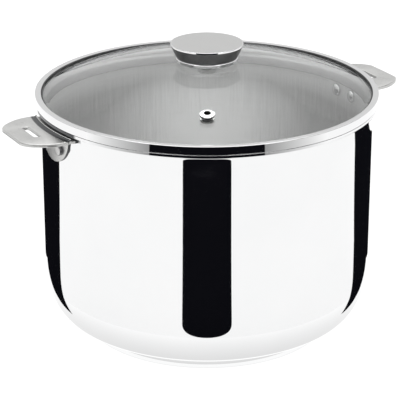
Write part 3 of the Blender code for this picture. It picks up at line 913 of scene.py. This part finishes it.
def make_knob_shell(polished, brushed_top, knob_cone_shade):
    wall = 1.2 * MM
    edge = 0.25 * MM
    land = 1.1 * MM
    bevel = 0.15 * MM
    top = [(0, KNOB_TOP)] + [((KNOB_RADIUS - edge) * share, KNOB_TOP) for share in (0.2, 0.5, 0.8, 0.985)]
    rim = joined(arc((KNOB_RADIUS - edge, KNOB_TOP - edge), edge, 90, 0, 7),
                 [(KNOB_RADIUS, KNOB_TOP - land), (KNOB_RADIUS - bevel, KNOB_TOP - land - bevel)])
    foot = [
        (KNOB_FOOT_RADIUS + 0.25 * MM, KNOB_BOTTOM + 0.5 * MM),
        (KNOB_FOOT_RADIUS - 0.05 * MM, KNOB_BOTTOM),
        (KNOB_FOOT_RADIUS - wall, KNOB_BOTTOM),
        (KNOB_RADIUS - wall - 0.2 * MM, KNOB_TOP - 1.6 * MM),
        (KNOB_RADIUS - 2.2 * MM, KNOB_TOP - wall),
        (0, KNOB_TOP - wall),
    ]
    # painted shade on the knob's cone under its rim
    knob = turned("knob_shell", top + rim + foot, [brushed_top, polished, knob_cone_shade], closed=False,
                  zones=(len(top) - 1, len(top) + len(rim) - 2))
    settle(knob, "lid", "brushed_steel", "knob_body")
    knob.visible_glossy = False


def make_foot_ring(polished):
    sheet = 0.9 * MM
    edge = 0.25 * MM
    hole = 2.6 * MM
    radius = ring_high.x
    low, high = ring_low.z - SHELL_BOTTOM, ring_high.z - SHELL_BOTTOM
    ring = [(hole, high)]
    ring += joined(arc((radius - edge, high - edge), edge, 90, 0, 7),
                   arc((radius - edge, low + edge), edge, 0, -90, 7))
    ring += [(radius - sheet, low), (radius - sheet, high - sheet), (hole, high - sheet)]
    foot_ring = turned("knob_foot_ring", ring, [polished])
    settle(foot_ring, "lid", "polished_steel", "knob_seat_ring")
    foot_ring.visible_glossy = False


def make_vent(polished, shaded):
    half = GLASS_THICKNESS / 2
    tube = VENT_HOLE - 0.4 * MM
    bore = 2.3 * MM
    rounding = 0.5 * MM
    under = half + 1.3 * MM
    tube_end = -half - 2.2 * MM
    crown = arc((bore + rounding, under + 0.85 * MM), rounding, 180, 90, 7)
    brim = arc((VENT_FLANGE - 0.55 * MM, under + rounding), rounding, 70, -90, 9)
    eyelet = crown + [(4.0 * MM, under + 1.2 * MM)] + brim
    eyelet += [(tube, under), (tube, tube_end), (bore, tube_end)]
    piece = turned("vent_flanged_eyelet", eyelet, [shaded, polished, shaded], SMALL, zones=(4, 11),
                   place=vent_frame(), sharp=50)
    settle(piece, "lid", "polished_steel", "vent_eyelet")


def finish_cad_nodes(finishes):
    """The small hidden pieces keep their CAD solids and take the same finishes."""
    slots = {row["node"]: row["material_slot"] for row in frame["record"]["subparts"]}
    for name, obj in frame["nodes"].items():
        if not obj.hide_render:
            obj.data.materials.clear()
            obj.data.materials.append(finishes[slots[name]])


# ---------------------------------------------------------------- studio


def camera_matrix():
    """Built where the picture's plane lies along X, then turned so that the brackets lie on X."""
    pitch = math.radians(CAMERA_PITCH)
    look = Matrix((
        (1, 0, 0, CAMERA_SIDE),
        (0, math.sin(pitch), -math.cos(pitch), -CAMERA_BACK),
        (0, math.cos(pitch), math.sin(pitch), CAMERA_HEIGHT + SHELL_BOTTOM),
        (0, 0, 0, 1),
    ))
    return Matrix.Rotation(math.radians(-CAMERA_AZIMUTH), 4, "Z") @ look


def make_camera():
    sensor = 36.0
    camera = bpy.data.objects.new("camera", bpy.data.cameras.new("camera"))
    bpy.context.scene.collection.objects.link(camera)
    camera.data.sensor_width = sensor
    camera.data.lens = sensor * LENS_WIDTHS
    camera.matrix_world = camera_matrix()
    bpy.context.scene.camera = camera


def plain_finish(name, colour, glow, glow_strength):
    """Paper or card of the set, slightly uneven, with its own even light."""
    made, tree, shader = nodes_for(name)
    cloud = noise(tree, object_place(tree), 3.0)
    darker = tuple(part * 0.98 for part in colour)
    paint(tree, shader, cloud, (darker, colour))
    shader.inputs["Roughness"].default_value = 0.9
    shader.inputs["Specular IOR Level"].default_value = 0.0
    shader.inputs["Emission Color"].default_value = (*glow, 1)
    shader.inputs["Emission Strength"].default_value = glow_strength
    return made


def stage_piece(name, work, finish):
    """A piece of the set, from a bmesh."""
    mesh = bpy.data.meshes.new(name)
    work.to_mesh(mesh)
    work.free()
    mesh.materials.append(finish)
    obj = bpy.data.objects.new(name, mesh)
    bpy.context.scene.collection.objects.link(obj)
    return obj


def flat_stage(name, outline, height, finish):
    """A sheet lying flat. Its outline is in metres, in the picture's own directions: X right, Y away."""
    turn = Matrix.Rotation(math.radians(-CAMERA_AZIMUTH), 4, "Z")
    work = bmesh.new()
    work.faces.new([work.verts.new(turn @ Vector((x, y, height))) for x, y in outline])
    return stage_piece(name, work, finish)


def sector(near, far, start, end, count=24):
    """Outline of a ring's sector round the pot. Angles are degrees from the camera's direction."""
    outline = []
    for radius, first, last in ((near, start, end), (far, end, start)):
        for i in range(count + 1):
            angle = math.radians(first + (last - first) * i / count)
            outline.append((radius * math.sin(angle), -radius * math.cos(angle)))
    return outline


def only_in_reflections(obj):
    obj.visible_camera = False
    obj.visible_diffuse = False
    obj.visible_shadow = False
    obj.visible_transmission = False


def front_gap():
    """The dark gap in front of the pot: a wedge with a round end towards it. Metres, as in flat_stage."""
    near, far = 0.160, 0.556
    apex = 0.0497
    spread = 0.285
    rounding = 0.040
    near_half, far_half = spread * (near - apex), spread * (far - apex)
    corners = [(near_half, -near), (far_half, -far), (-far_half, -far), (-near_half, -near)]
    steps = 10
    rounded = rounded_outline(corners, rounding, steps)
    return rounded[:steps + 1] + corners[1:3] + rounded[-steps - 1:]


def side_panel(side):
    """The dark panel beside the pot, which draws the pot's edge. Metres, as in flat_stage."""
    corners = [
        (0.129, -0.040),
        (0.162, -0.013),
        (0.200, 0.013),
        (0.273, 0.064),
        (0.510, 0.200),
        (0.360, 0.370),
        (0.100, 0.450),
        (0.100, 0.145),
        (0.165, 0.100),
        (0.157, 0.047),
        (0.146, 0.005),
    ]
    return [(side * x, y) for x, y in corners]


def glow_finish(name):
    """A card that reflects nothing and glows white. How strongly is for the caller to link."""
    made, tree, shader = nodes_for(name)
    shader.inputs["Base Color"].default_value = (0, 0, 0, 1)
    shader.inputs["Roughness"].default_value = 1.0
    shader.inputs["Specular IOR Level"].default_value = 0.0
    shader.inputs["Emission Color"].default_value = (1, 1, 1, 1)
    return made, tree, shader


def shade_finish():
    """Shade under the pot's rounded bottom: white paper that darkens towards the base."""
    made, tree, shader = glow_finish("shade_under_pot")
    length = add(tree, "ShaderNodeVectorMath", operation="LENGTH")
    tree.links.new(object_place(tree), length.inputs[0])
    glow = ranged(tree, length.outputs["Value"], SHADE_NEAR, SHADE_FAR, SHADE_SEEN, PAPER_SEEN)
    tree.links.new(glow, shader.inputs["Emission Strength"])
    return made


def soft_side_finish():
    """Grey that fades to white away from the dark ground in front."""
    made, tree, shader = glow_finish("grey_fade")
    turned_back = add(tree, "ShaderNodeVectorRotate", rotation_type="Z_AXIS")
    turned_back.inputs["Angle"].default_value = math.radians(CAMERA_AZIMUTH)
    tree.links.new(object_place(tree), turned_back.inputs["Vector"])
    x, y, _ = parts(tree, turned_back.outputs[0])
    toward = math_node(tree, "MULTIPLY", y, -1.0)
    angle = math_node(tree, "ABSOLUTE", math_node(tree, "ARCTAN2", x, toward))
    glow = ranged(tree, angle, math.radians(FRONT_HALF), math.radians(FADE_END), FADE_SEEN, PAPER_SEEN)
    tree.links.new(glow, shader.inputs["Emission Strength"])
    return made


def make_world():
    """A white tent, brightest in a ring high up and milder straight overhead."""
    world = bpy.data.worlds.new("studio")
    bpy.context.scene.world = world
    world.use_nodes = True
    tree = world.node_tree
    ground = tree.nodes["Background"]
    ground.inputs["Color"].default_value = (1, 1, 1, 1)
    height = parts(tree, add(tree, "ShaderNodeTexCoord").outputs["Generated"])[2]
    ring = ranged(tree, height, RING_FROM, RING_TO, SKY_LOW, SKY_HIGH)
    overhead = ranged(tree, height, RING_TO, OVERHEAD, 1.0, ZENITH_SHARE)
    tree.links.new(math_node(tree, "MULTIPLY", ring, overhead), ground.inputs["Strength"])


def make_flag(name, far, rise, start, end, black):
    """A dark standing card, bent round the pot and seen only in reflections. Its top is at the rise,
    in degrees over the floor."""
    low, high = FLOOR + 0.001, far * math.tan(math.radians(rise))
    work = bmesh.new()
    rows = []
    count = 16
    for height in (low, high):
        row = []
        for i in range(count + 1):
            angle = math.radians(start + (end - start) * i / count - CAMERA_AZIMUTH)
            row.append(work.verts.new((far * math.sin(angle), -far * math.cos(angle), height)))
        rows.append(row)
    for k in range(count):
        work.faces.new((rows[0][k], rows[0][k + 1], rows[1][k + 1], rows[1][k]))
    only_in_reflections(stage_piece(name, work, black))


def make_studio():
    scene = bpy.context.scene
    scene.view_settings.view_transform = "Standard"
    paper = plain_finish("white_paper", (PAPER, PAPER, PAPER), (1, 1, 1), FLOOR_GLOW)
    reach = 6.0
    square = [(-reach, -reach), (reach, -reach), (reach, reach), (-reach, reach)]
    flat_stage("floor", square, FLOOR - 0.0001, paper)

    black = plain_finish("black_card", (0.002, 0.002, 0.003), (0.75, 0.8, 1.0), 0.0015)
    light = plain_finish("light_card", (0.02, 0.02, 0.02), (1, 1, 1), PAPER_SEEN)
    shade = shade_finish()
    fade = soft_side_finish()
    cards = (
        ("shade_ring", sector(SHADE_NEAR, SHADE_FAR, -180.0, 180.0, 96), LOW_CARD, shade),
        ("light_ring", sector(LIGHT_NEAR, SHADE_NEAR, -180.0, 180.0, 96), LOW_CARD, light),
        ("fade_left", sector(FRONT_NEAR, FADE_FAR, -FADE_END, -FRONT_HALF), LOW_CARD, fade),
        ("fade_right", sector(FRONT_NEAR, FADE_FAR, FRONT_HALF, FADE_END), LOW_CARD, fade),
        ("card_front_gap", front_gap(), HIGH_CARD, black),
        ("card_front_far", sector(FRONT_NEAR, FRONT_FAR, -FRONT_HALF, FRONT_HALF), HIGH_CARD, black),
        ("card_left", side_panel(-1), HIGH_CARD, black),
        ("card_right", side_panel(1), HIGH_CARD, black),
        ("card_behind", sector(BEHIND_NEAR, BEHIND_FAR, *BEHIND), HIGH_CARD, black),
    )
    for name, outline, height, finish in cards:
        only_in_reflections(flat_stage(name, outline, FLOOR + height, finish))
    nearer, further = BESIDE
    make_flag("flag_left", FLAG_AWAY, FLAG_RISE, -further, -nearer, black)
    make_flag("flag_right", FLAG_AWAY, FLAG_RISE, nearer, further, black)
    make_flag("flag_behind", BEHIND_FAR, BEHIND_RISE, *BEHIND, black)
    make_world()


# ---------------------------------------------------------------- everything together

polished = polished_steel()
inside = brushed_inside_painted_light()
satin = satin_steel()
knob_top = brushed_knob()
knob_cone_shade = satin_steel("knob_cone_painted_shade", KNOB_CONE_PAINTED_SHADE)
shaded = satin_steel("shaded_edge", SHADED)
bracket = bracket_steel()
band_inside_shade = satin_steel("band_inside_painted_shade", BAND_INSIDE_PAINTED_SHADE)
rubber = silicone("grey_silicone", SILICONE)
glass = clear_glass()

make_pot_body(body_steel(), inside)
make_base(polished)
make_rivets(satin, shaded, polished)
make_brackets(bracket)
make_glass(glass)
make_rim_band(polished, band_inside_shade, shaded)
make_edge_seal(rubber)
make_knob_shell(polished, knob_top, knob_cone_shade)
make_foot_ring(polished)
make_vent(polished, shaded)
finish_cad_nodes({
    "polished_steel": polished,
    "satin_steel": satin,
    "brushed_steel": satin,
    "aluminium": turned_aluminium(),
    "clear_glass": glass,
    "grey_silicone": rubber,
})
make_camera()
make_studio()
